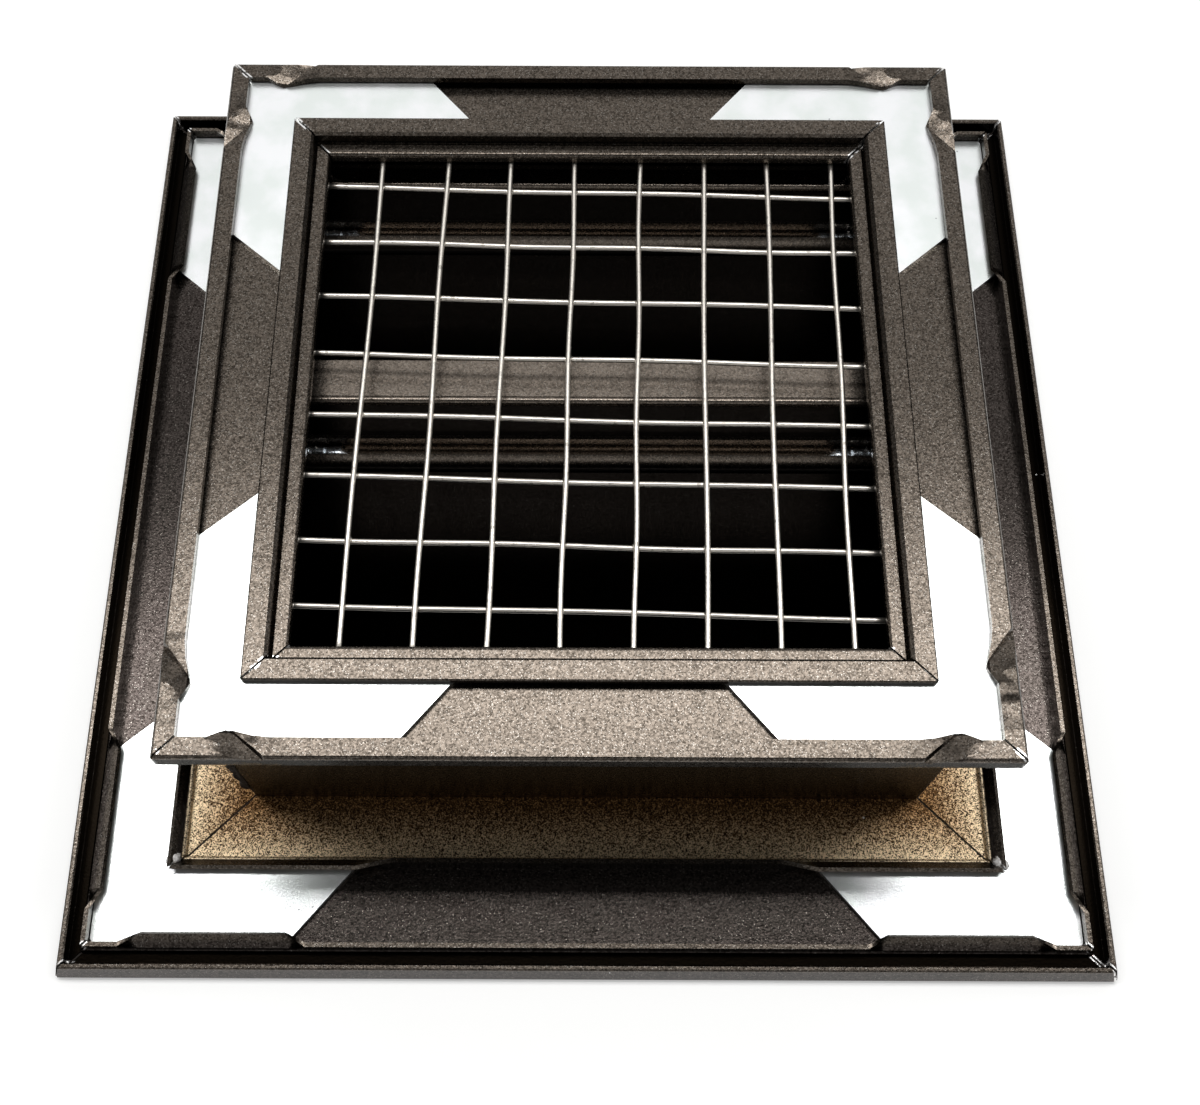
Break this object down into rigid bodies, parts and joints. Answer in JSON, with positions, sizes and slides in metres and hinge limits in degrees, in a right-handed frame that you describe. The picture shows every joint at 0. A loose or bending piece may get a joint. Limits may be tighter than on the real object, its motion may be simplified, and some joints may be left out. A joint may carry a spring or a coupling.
{
  "type": "foundation vent",
  "caption": "Square foundation vent: mitred extruded frame with sleeve, corner keys, welded wire mesh at the rear and fixed sloping louvre blades behind the front face.",
  "frame": {"origin": "middle of the front face, on the surface that the vent lies on", "axes": "+Z from the front face into the wall, +Y up the wall when fitted, +X to the right as seen from behind"},
  "size_m": [0.2, 0.2, 0.0535],
  "materials": {
    "bronze_paint": "dark bronze textured powder coat with fine metal flake",
    "galvanised_steel": "bright galvanised sheet",
    "mesh_wire": "bright galvanised wire",
    "zinc_screw": "bright zinc plate"
  },
  "bodies": {
    "root": {"bottom_rail": "bronze_paint", "top_rail": "bronze_paint", "left_rail": "bronze_paint", "right_rail": "bronze_paint", "lower_blade": "bronze_paint", "upper_blade": "bronze_paint", "front_key_top_right": "galvanised_steel", "front_key_top_left": "galvanised_steel", "front_key_bottom_left": "galvanised_steel", "front_key_bottom_right": "galvanised_steel", "rear_key_top_right": "galvanised_steel", "rear_key_top_left": "galvanised_steel", "rear_key_bottom_left": "galvanised_steel", "rear_key_bottom_right": "galvanised_steel", "wire_mesh": "mesh_wire", "blade_screws": "zinc_screw"}
  },
  "joints": []
}
